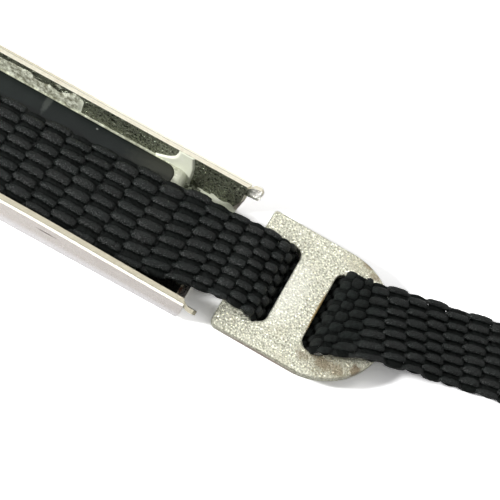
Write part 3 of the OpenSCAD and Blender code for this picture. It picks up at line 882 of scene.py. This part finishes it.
plate.data.materials.append(plated(
    "grained_nickel", light=(1.0, 0.99, 0.84), dark=(0.3, 0.3, 0.21), blotch=(0.62, 0.58, 0.43),
    grain=4300.0, contrast=1.0, blotch_share=0.3, roughness=0.26, relief=1.4, stains=PLATE_STAINS))
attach(plate, "slide")
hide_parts("slide_plate")

# ---------------------------------------------------------------- strap
# One strap of coarse black polyester webbing, plain-woven from thick warp bundles and wide weft picks. It is
# looped round the pin and sewn, lies in the bar over the pad, arches over the plate's end bar, bends close
# round the centre bar and comes up through the second slot to run off over the D end.
WEB_W, WEB_T, WEB_GAP, PLY_PRESS = 10.2, 1.3, 0.1, 0.02
WEB_LIFT = WEB_GAP + WEB_T / 2
FOLD_L, FOLD_TURN = 9.0, math.radians(30)
LOOP_R = PIN_R + WEB_LIFT
RUN_LOW_Z, RUN_PAD_Z = PIN_MIDDLE[2] - LOOP_R, PAD_HIGH[2] + WEB_LIFT
UNDER_Z, OVER_Z = WEB_LIFT, PLATE_TOP + WEB_LIFT
FOLD_Z = RUN_LOW_Z + WEB_T - PLY_PRESS
LOOP_END_X, ONTO_PAD_L, SETTLE_X, PLATE_LEAD = PIN_MIDDLE[0] + FOLD_L + 1, 4.0, PAD_HIGH[0] - 1.2, 1.0
DIP_TURN, DIP_R = math.radians(75), 1.0
ARCH, ARCH_X, ARCH_L = 0.55, 0.4, 1.9
TAIL_TURN, TAIL_L, TAIL_LEAD, TAIL_LIFT = math.radians(15.3), 61.2, 0.3, 0.12
TAIL_HUMP, TAIL_HUMP_L, TAIL_DROP_START, TAIL_DROP_L = 0.5, 12.0, 1.0, 15.0
TAIL_BOW, TAIL_BOW_L, TAIL_CURL = 0.9, 28.0, 0.6
RUN_BOW, THREAD_Y, THREAD_SKEW = 1.35, 0.3, 0.035
HALF_SEWN, HALF_IN_SLOT, HALF_IN_TAIL, SLACK = WEB_W / 2, 5.85, 4.85, (0.4, 0.45)
ROUTE_STEP, RELAX_STEPS = 0.05, 31


def ease(u):
    """Smooth step from 0 to 1 as u goes from 0 to 1."""
    return smooth(0, 1, u)


def straight(a, b):
    """Points 0.1 apart from a up to but not including b."""
    a, b = np.asarray(a, float), np.asarray(b, float)
    n = max(2, int(np.linalg.norm(b - a) / 0.1))
    return a + (b - a) * np.linspace(0, 1, n, endpoint=False)[:, None]


def arc(x, z, radius, start, end, count):
    """Points x + r cos(a), z + r sin(a) with a from start to end."""
    a = np.linspace(start, end, count)
    return np.stack([x + radius * np.cos(a), z + radius * np.sin(a)], axis=-1)


def side_view():
    """The strap's middle line as x and z every ROUTE_STEP of its length, and the x at which its tail starts.

    It is straights joined by arcs: the folded end, the loop round the pin, the run that eases up onto the
    pad and down to the plate, the dip under the centre bar, and the tail that sinks to the ground."""
    pin_x, _, pin_z = PIN_MIDDLE
    plate_x = PLATE_PLACE[0]
    loop = arc(pin_x, pin_z, LOOP_R, math.pi / 2 - FOLD_TURN, 3 * math.pi / 2, 60)
    land = [loop[0, 0] + (loop[0, 1] - FOLD_Z) / math.tan(FOLD_TURN), FOLD_Z]
    rise_x = LOOP_END_X + 0.5
    x = np.arange(rise_x, plate_x - PLATE_LEAD, 0.1)
    z = RUN_LOW_Z + (RUN_PAD_Z - RUN_LOW_Z) * ease((x - rise_x) / ONTO_PAD_L)
    z -= (RUN_PAD_Z - OVER_Z) * ease((x - SETTLE_X) / (plate_x - PLATE_LEAD - 0.1 - SETTLE_X))
    slope = (OVER_Z - UNDER_Z - 2 * DIP_R * (1 - math.cos(DIP_TURN))) / math.sin(DIP_TURN)
    dip = 2 * DIP_R * math.sin(DIP_TURN) + slope * math.cos(DIP_TURN)
    quarter = math.pi / 2
    down = np.concatenate([arc(0, OVER_Z - DIP_R, DIP_R, quarter, quarter - DIP_TURN, 14),
                           arc(dip, UNDER_Z + DIP_R, DIP_R, -quarter - DIP_TURN, -quarter, 14)])
    first, second = plate_x + SLOT_X[0] + SLOT_W - dip, plate_x + SLOT_X[1]
    tail_x = second + dip + TAIL_LEAD
    s = np.arange(0, TAIL_L, 0.1)
    tail_z = OVER_Z + TAIL_HUMP * np.sin(math.pi * np.minimum(1, s / TAIL_HUMP_L))
    tail_z += (TAIL_LIFT + WEB_T / 2 - OVER_Z) * ease((s - TAIL_DROP_START) / TAIL_DROP_L)
    line = np.concatenate([
        straight([pin_x + FOLD_L, FOLD_Z], land), straight(land, loop[0]), loop,
        straight([pin_x, RUN_LOW_Z], [rise_x, RUN_LOW_Z]), np.stack([x, z], axis=-1),
        straight([plate_x - PLATE_LEAD, OVER_Z], [first, OVER_Z]), down + [first, 0],
        straight([first + dip, UNDER_Z], [second, UNDER_Z]), down[::-1] * [-1, 1] + [second + dip, 0],
        straight([second + dip, OVER_Z], [tail_x, OVER_Z]),
        np.stack([tail_x + s * math.cos(TAIL_TURN), tail_z], axis=-1)])
    gone = np.concatenate([[0], np.cumsum(np.linalg.norm(np.diff(line, axis=0), axis=1))])
    along = np.arange(0, gone[-1], ROUTE_STEP)
    return along, np.stack([np.interp(along, gone, line[:, k]) for k in (0, 1)], axis=-1), tail_x


def strap_route():
    """Distances along the strap and, at each, its middle's x, y, z, its heading and its half width, with the
    distance at which the plate's centre bar lies.

    The side view is arched over the end bar and relaxed by a bell-shaped mean, then bowed sideways in the
    bar, skewed in the plate and turned off in the tail."""
    along, line, tail_x = side_view()
    plate_x = PLATE_PLACE[0]
    at_plate = along[np.argmin(np.abs(line[:, 0] - plate_x - END_BAR_W - SLOT_W - CENTRE_BAR_W / 2))]
    arch = ARCH * np.exp(-((line[:, 0] - plate_x - ARCH_X) / ARCH_L) ** 2)
    line[:, 1] += arch * (line[:, 1] > PLATE_Z + PLATE_T / 2) * smooth(at_plate, at_plate - 4.5, along)
    kernel = np.exp(-np.linspace(-3, 3, RELAX_STEPS) ** 2 / 2)
    kernel /= kernel.sum()
    x, z = (np.convolve(np.pad(line[:, k], RELAX_STEPS // 2, mode="edge"), kernel, "valid") for k in (0, 1))
    u = np.clip((x - LOOP_END_X) / (plate_x - LOOP_END_X), 0, 1)
    y = THREAD_Y * ease(u) - RUN_BOW * smooth(0, 0.35, u) * (1 - smooth(0.73, 0.97, u))
    y += np.clip(x - plate_x, 0, tail_x - plate_x) * THREAD_SKEW
    past = along > at_plate
    bow = TAIL_BOW * np.sin(math.pi * np.clip((x - tail_x) / TAIL_BOW_L, 0, 1)) ** 2
    y += np.where(past, np.clip(x - tail_x, 0, None) * math.tan(TAIL_TURN) + bow, 0)
    y -= TAIL_CURL * smooth(60, 100, x)
    heading = np.arctan2(np.gradient(y, along), np.maximum(np.gradient(x, along), 0.3))
    heading = np.where(past, heading, 0) * smooth(tail_x, tail_x + 4, x)
    slack = SLACK[0] * smooth(0, 0.3, u) + SLACK[1] * smooth(0.4, 0.75, u)
    half = HALF_SEWN + slack * (1 - 0.7 * smooth(0.82, 0.95, u))
    half += (HALF_IN_SLOT - half) * smooth(at_plate - 5.5, at_plate - 3, along)
    half += (HALF_IN_TAIL - HALF_IN_SLOT) * smooth(at_plate + 4, at_plate + 10, along)
    return along, np.column_stack([x, y, z]), heading, half, at_plate


ALONG, ROUTE, HEADING, HALF, PLATE_S = strap_route()


def strap_frame(s):
    """Place, side direction and upward normal (ahead x side) of the strap's middle line at distances s."""
    place = np.stack([np.interp(s, ALONG, ROUTE[:, k]) for k in range(3)], axis=-1)
    ahead = np.gradient(ROUTE, ALONG, axis=0)
    ahead = np.stack([np.interp(s, ALONG, ahead[:, k]) for k in range(3)], axis=-1)
    turn = np.interp(s, ALONG, HEADING)
    side = np.stack([-np.sin(turn), np.cos(turn), 0 * turn], axis=-1)
    up = np.cross(ahead, side)
    return place, side, up / np.linalg.norm(up, axis=1)[:, None]


def strap_half(s):
    """Half of the strap's width at distance s: slack in the bar, gathered at the plate, tight in the tail."""
    return np.interp(s, ALONG, HALF)


LOOSE_PICK, BENT_PICK, TIGHT_PICK, TAIL_PICK = 2.88, 2.05, 1.25, 2.47


def pick_count(s):
    """Weft picks passed at distance s: far apart in the bar, bunched where the strap bends through the
    plate, and of middling pitch in the tail."""
    spacing = (LOOSE_PICK + (BENT_PICK - LOOSE_PICK) * smooth(PLATE_S - 15, PLATE_S - 11, ALONG)
               + (TIGHT_PICK - BENT_PICK) * smooth(PLATE_S - 9, PLATE_S - 5, ALONG)
               + (TAIL_PICK - TIGHT_PICK) * smooth(PLATE_S + 6.5, PLATE_S + 10, ALONG))
    return np.interp(s, ALONG, np.concatenate([[0], np.cumsum(np.diff(ALONG) / spacing[1:])]))


LINES_APART = 40.0


def tubes(centres, sides, ups, half_w, half_h, tint, ring=10):
    """Closed tubes of a squashed-oval section carried along several lines at once.

    centres, sides and ups are lines x rings x 3, with sides x ups pointing along the lines; half_w, half_h
    and tint are lines x rings. Gives the points, the faces, each face corner's UV (distance along in mm,
    share of the way round) and each point's tint."""
    lines, count = half_w.shape
    a = np.linspace(0, 2 * math.pi, ring, endpoint=False)
    points = (centres[:, :, None] + sides[:, :, None] * (half_w[..., None] * np.cos(a))[..., None]
              + ups[:, :, None] * (half_h[..., None] * np.sin(a))[..., None])
    at = np.arange(lines * count * ring).reshape(lines, count, ring)
    nxt = np.roll(at, -1, axis=2)
    walls = np.stack([at[:, :-1], nxt[:, :-1], nxt[:, 1:], at[:, 1:]], axis=-1).reshape(-1, 4)
    k = np.arange(ring // 2 - 1)
    lid = np.stack([k, k + 1, ring - 2 - k, ring - 1 - k], axis=-1)
    lids = [at[:, 0][:, lid[:, ::-1]].reshape(-1, 4), at[:, -1][:, lid].reshape(-1, 4)]
    faces = np.concatenate([walls] + lids)
    run = np.cumsum(np.linalg.norm(np.diff(centres, axis=1, prepend=centres[:, :1]), axis=2), axis=1)
    run = run + LINES_APART * np.arange(lines)[:, None]
    u = np.broadcast_to(run[..., None], at.shape).reshape(-1)[faces]
    v = np.broadcast_to(np.arange(ring) / ring, at.shape).reshape(-1)[faces]
    v[:len(walls)] += (v[:len(walls)] < 0.25) & (v[:len(walls)].max(axis=1, keepdims=True) > 0.75)
    tints = np.broadcast_to(tint[..., None], at.shape).reshape(-1)
    return points.reshape(-1, 3), faces, np.stack([u, v], axis=-1).reshape(-1, 2), tints


def bundle(name, parts):
    """One object from several sets of tubes, with the UV map "along" and the attribute "tint"."""
    starts = np.cumsum([0] + [len(part[0]) for part in parts[:-1]])
    faces = np.concatenate([part[1] + start for part, start in zip(parts, starts)])
    piece = add_mesh(name, np.concatenate([part[0] for part in parts]), faces, 70.0)
    along = piece.data.uv_layers.new(name="along")
    along.data.foreach_set("uv", np.concatenate([part[2] for part in parts]).reshape(-1).astype(np.float32))
    tint = piece.data.attributes.new("tint", "FLOAT", "POINT")
    tint.data.foreach_set("value", np.concatenate([part[3] for part in parts]).astype(np.float32))
    return piece


WARP_COUNT, WARP_RISE = 14, 0.36
BLUNT, SWELL = 0.36, 0.3
SUNK_W, FLOAT_W, SUNK_H, FLOAT_H = 0.42, 0.6, 0.22, 0.3
SELVEDGE, EDGE_NARROW, EDGE_FLAT = 0.3, 0.85, 0.75
PHASE_VARY, WIDTH_VARY, RISE_VARY, ROLL_VARY = 0.07, 0.05, 0.12, 0.35
SHIFT_VARY, EDGE_SHIFT_VARY = 0.05, 0.09
PRESSED, PRESSED_S, PRESSED_L = 0.4, 5.5, 2.5


def warp(s, seed):
    """The warp bundles at the strap distances in s: each floats over one pick, blunt at both ends, and sinks
    under the next, as crest = sign(cos(pi p)) |cos(pi p)|^BLUNT with p the picks passed."""
    rng = np.random.default_rng(seed)
    place, side, up = strap_frame(s)
    number = np.arange(WARP_COUNT)
    middle = (WARP_COUNT - 1) / 2
    phase = pick_count(s)[None] + number[:, None]
    phase += PHASE_VARY * ripple(phase * 2, number[:, None] * 1.7, seed)
    wave = np.cos(math.pi * phase)
    crest = np.sign(wave) * np.abs(wave) ** BLUNT
    swell = np.abs(wave) ** SWELL
    which = np.round(phase).astype(int)
    rise, wide, shift, roll, tint = np.moveaxis(
        rng.uniform(-1, 1, (WARP_COUNT, which.max() + 2, 5))[number[:, None], which], -1, 0)
    pitch = (2 * strap_half(s) - SELVEDGE) / WARP_COUNT
    crowding = pitch / pitch.max()
    edge = np.abs(number - middle)[:, None] > middle - 0.5
    half_w = (SUNK_W + (FLOAT_W - SUNK_W + WIDTH_VARY * wide) * swell) * crowding
    half_w *= np.where(edge, EDGE_NARROW, 1)
    half_w *= 1 + PHASE_VARY * ripple(phase * 9, number[:, None] * 5.3, seed + 1)
    half_h = SUNK_H + (FLOAT_H - SUNK_H) * swell
    loose = np.where(edge, EDGE_SHIFT_VARY, SHIFT_VARY)
    offset = (number - middle)[:, None] * pitch + loose * shift * swell
    height = WARP_RISE * crest * (1 + RISE_VARY * rise * swell) * np.where(edge, EDGE_FLAT, 1)
    height *= 1 - PRESSED * np.exp(-((s - PLATE_S - PRESSED_S) / PRESSED_L) ** 2)
    centres = place[None] + side[None] * offset[..., None] + up[None] * height[..., None]
    roll = (ROLL_VARY * roll * swell)[..., None]
    return tubes(centres, side[None] * np.cos(roll) + up[None] * np.sin(roll),
                 up[None] * np.cos(roll) - side[None] * np.sin(roll), half_w, half_h, tint)


WEFT_SUNK, WEFT_SHORT, WEFT_WAVE = 0.06, 0.06, 0.06
WEFT_HALF_H, LUMP_H, LUMP_FROM = 0.2, 0.13, (0.86, 0.95)


def weft(s, seed):
    """The weft picks over the strap distances in s: wide flat bundles that turn back as a lump at each edge.

    Across the strap, pick n waves against the warp by -WEFT_WAVE cos(pi (n + b)), with b the warp bundle it
    passes, and its section swells over LUMP_FROM and is then rounded off."""
    rng = np.random.default_rng(seed)
    first, last = pick_count(np.array([s[0], s[-1]]))
    numbers = np.arange(math.ceil(first), math.floor(last) + 1)
    at = np.interp(numbers, pick_count(ALONG), ALONG)
    place, side, up = strap_frame(at)
    back = np.cross(up, side)
    v = np.linspace(-1, 1, 57)
    half = strap_half(at)[:, None]
    across = v[None] * (half - WEFT_SHORT)
    pitch = (2 * half - SELVEDGE) / WARP_COUNT
    weave = -WEFT_WAVE * np.cos(math.pi * (numbers[:, None] + across / pitch + (WARP_COUNT - 1) / 2))
    centres = place[:, None] + side[:, None] * across[..., None]
    centres += up[:, None] * (weave - WEFT_SUNK)[..., None]
    round_end = np.sqrt(np.clip(1 - v ** 24, 0.04, 1))
    pick = np.gradient(at)[:, None]
    half_w = np.broadcast_to(0.5 * pick * round_end, weave.shape)
    half_h = np.broadcast_to((WEFT_HALF_H + LUMP_H * smooth(*LUMP_FROM, np.abs(v))) * round_end, weave.shape)
    tint = np.broadcast_to(rng.uniform(-1, 1, (len(numbers), 1)), weave.shape)
    shape = centres.shape
    return tubes(centres, np.broadcast_to(back[:, None], shape), np.broadcast_to(up[:, None], shape),
                 half_w, half_h, tint, 8)


RINGS_A_PICK, RING_CROWD, BEND_CROWD = 12, 0.75, 0.8


def woven(name, start, end, seed):
    """A length of the strap, its warp and its weft as one piece.

    The warp's rings crowd in bends and where it changes sides, at picks t + RING_CROWD sin(2 pi t) / 2 pi."""
    turned = np.gradient(np.unwrap(np.arctan2(*np.gradient(ROUTE[:, [2, 0]], axis=0).T)), ALONG)
    rate = np.gradient(pick_count(ALONG), ALONG) * RINGS_A_PICK
    rate *= 1 + BEND_CROWD * np.minimum(np.abs(turned), 1)
    rings = np.concatenate([[0], np.cumsum(rate[1:] * np.diff(ALONG))])
    low, high = np.interp([start, end], ALONG, rings)
    even = np.interp(np.linspace(low, high, int(round(high - low)) + 1), rings, ALONG)
    t = np.arange(0, pick_count(ALONG[-1]) + 1, 0.01)
    crowded = np.interp(t + RING_CROWD * np.sin(2 * math.pi * t) / (2 * math.pi), pick_count(ALONG), ALONG)
    s = np.interp(pick_count(even), t, crowded)
    s[[0, -1]] = start, end
    warps, wefts = warp(s, seed), weft(s, seed)
    piece = bundle(name, [warps, wefts])
    is_weft = np.arange(len(piece.data.polygons)) >= len(warps[1])
    piece.data.polygons.foreach_set("material_index", is_weft.astype(np.int32))
    return piece


YARN_TWIST, FILAMENT_LONG, FILAMENT_ROUND = 1.1, 1.3, 2.6
WARP_SHINE, WEFT_SHINE = 0.27, 0.1
DRAWN_PLACE, DRAWN_HALF, DRAWN_DULL = (45.6, 0.9, 3.0), (4.4, 9.0, 6.0), 0.9


def twisted_yarn():
    """Shared effect: fine filaments along a twisted yarn, paler where they catch the light, with each float's
    own tint, as a colour and a bumped normal.

    The filaments are a noise read at (l, cos(t), sin(t)), with l the distance along and t the way round plus
    the twist gained along the yarn, so that it closes round the yarn without a seam."""
    group, enter, leave, place = new_group(
        "twisted_yarn", {"Dark": "Color", "Brown": "Color", "Pale": "Color", "Relief": "Float"},
        {"Color": "Color", "Normal": "Vector"})
    takes = enter.outputs
    along = group.nodes.new("ShaderNodeUVMap")
    along.uv_map = "along"
    apart, helix = group.nodes.new("ShaderNodeSeparateXYZ"), group.nodes.new("ShaderNodeCombineXYZ")
    feed(group, along.outputs[0], apart.inputs[0])
    feed(group, maths(group, "MULTIPLY", apart.outputs["X"], FILAMENT_LONG), helix.inputs["X"])
    twist = maths(group, "MULTIPLY", apart.outputs["X"], YARN_TWIST)
    turn = maths(group, "ADD", maths(group, "MULTIPLY", apart.outputs["Y"], 2 * math.pi), twist)
    for way, axis in (("COSINE", "Y"), ("SINE", "Z")):
        feed(group, maths(group, "MULTIPLY", maths(group, way, turn), FILAMENT_ROUND), helix.inputs[axis])
    filament = noise(group, helix.outputs[0], 1.0, 5.0, 0.72)
    own = group.nodes.new("ShaderNodeAttribute")
    own.attribute_name = "tint"
    base = mixed(group, stretched(group, own.outputs["Fac"], -1.0, 1.0), takes["Dark"], takes["Brown"])
    lumps = maths(group, "MULTIPLY", noise(group, place, 2300.0, 3.0), 1.3)
    uneven = maths(group, "ADD", filament, lumps)
    feed(group, mixed(group, stretched(group, uneven, 0.95, 1.5), base, takes["Pale"]), leave.inputs["Color"])
    feed(group, bumped(group, uneven, takes["Relief"], 0.00013), leave.inputs["Normal"])
    return group


TWISTED_YARN = twisted_yarn()


def yarn(name, dark, brown, pale, relief, roughness, shine):
    """Twisted polyester, duller where the strap is drawn tight over the plate."""
    material, tree, output = new_material(name)
    effect = use_group(tree, TWISTED_YARN, {"Dark": dark, "Brown": brown, "Pale": pale, "Relief": relief})
    drawn = blot(tree, DRAWN_PLACE, DRAWN_HALF, 0.3)
    surfaced(tree, output, {
        "Base Color": effect["Color"], "Normal": effect["Normal"], "Specular IOR Level": shine,
        "Roughness": maths(tree, "MULTIPLY_ADD", drawn, DRAWN_DULL * (1 - roughness), roughness)})
    return material


black_yarn = yarn("black_yarn", dark=(0.0012, 0.0026, 0.0022), brown=(0.0034, 0.0036, 0.003),
                  pale=(0.011, 0.015, 0.013), relief=1.0, roughness=0.27, shine=WARP_SHINE)
deep_yarn = yarn("deep_yarn", dark=(0.0022, 0.0032, 0.0027), brown=(0.003, 0.0034, 0.003),
                 pale=(0.008, 0.01, 0.009), relief=0.8, roughness=0.7, shine=WEFT_SHINE)
sewn_half = woven("strap_in_bar", 0.0, PLATE_S, 5)
tail_half = woven("strap_past_plate", PLATE_S, ALONG[-1], 6)
for half_strap, nodes in ((sewn_half, ["webbing_loop", "webbing_run", "webbing_threaded"]),
                          (tail_half, ["webbing_tail"])):
    half_strap.data.materials.append(black_yarn)
    half_strap.data.materials.append(deep_yarn)
    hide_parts(*nodes)
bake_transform(sewn_half)
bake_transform(tail_half)

# ---------------------------------------------------------------- bar tack
# Close zigzag of black polyester thread, sewn by machine through the fold and the run. It is the strap's only
# sewing and holds the loop shut round the pin.
THREAD_R, THREAD_SUNK, THREAD_ARCH = 0.11, 0.02, 0.09
STITCHES, STITCH_L, STITCH_STEPS, TACK_MARGIN = 11, 2.2, 12, 1.0
tack_x = PIN_MIDDLE[0] + FOLD_L - 1 - STITCH_L / 2
zig = np.arange(2 * STITCHES)
reach_y = WEB_W / 2 - TACK_MARGIN
corners = np.stack([tack_x + STITCH_L / 2 * (-1.0) ** zig, np.linspace(-reach_y, reach_y, len(zig))], axis=-1)
t = np.linspace(0, zig[-1], zig[-1] * STITCH_STEPS + 1)
on_face = np.stack([np.interp(t, zig, corners[:, k]) for k in (0, 1)], axis=-1)
rows = []
for face_z, outward in ((FOLD_Z + WEB_T / 2 - THREAD_SUNK, 1), (RUN_LOW_Z - WEB_T / 2 + THREAD_SUNK, -1)):
    line = at_height(on_face, face_z + outward * THREAD_ARCH * np.abs(np.sin(math.pi * t)))
    ahead = np.gradient(line, axis=0)
    side = np.cross([0, 0, 1.0], ahead)
    side /= np.linalg.norm(side, axis=1)[:, None]
    up = np.cross(ahead, side)
    up /= np.linalg.norm(up, axis=1)[:, None]
    radius = np.full((1, len(t)), THREAD_R)
    rows.append(tubes(line[None], side[None], up[None], radius, radius, 0 * radius, 8))
tack = bundle("bar_tack_thread", rows)
tack.data.materials.append(yarn("black_thread", dark=(0.01, 0.011, 0.011), brown=(0.014, 0.014, 0.012),
                                pale=(0.04, 0.043, 0.042), relief=0.6, roughness=0.45, shine=WARP_SHINE))
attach(tack, "webbing")
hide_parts("bar_tack_stitching")
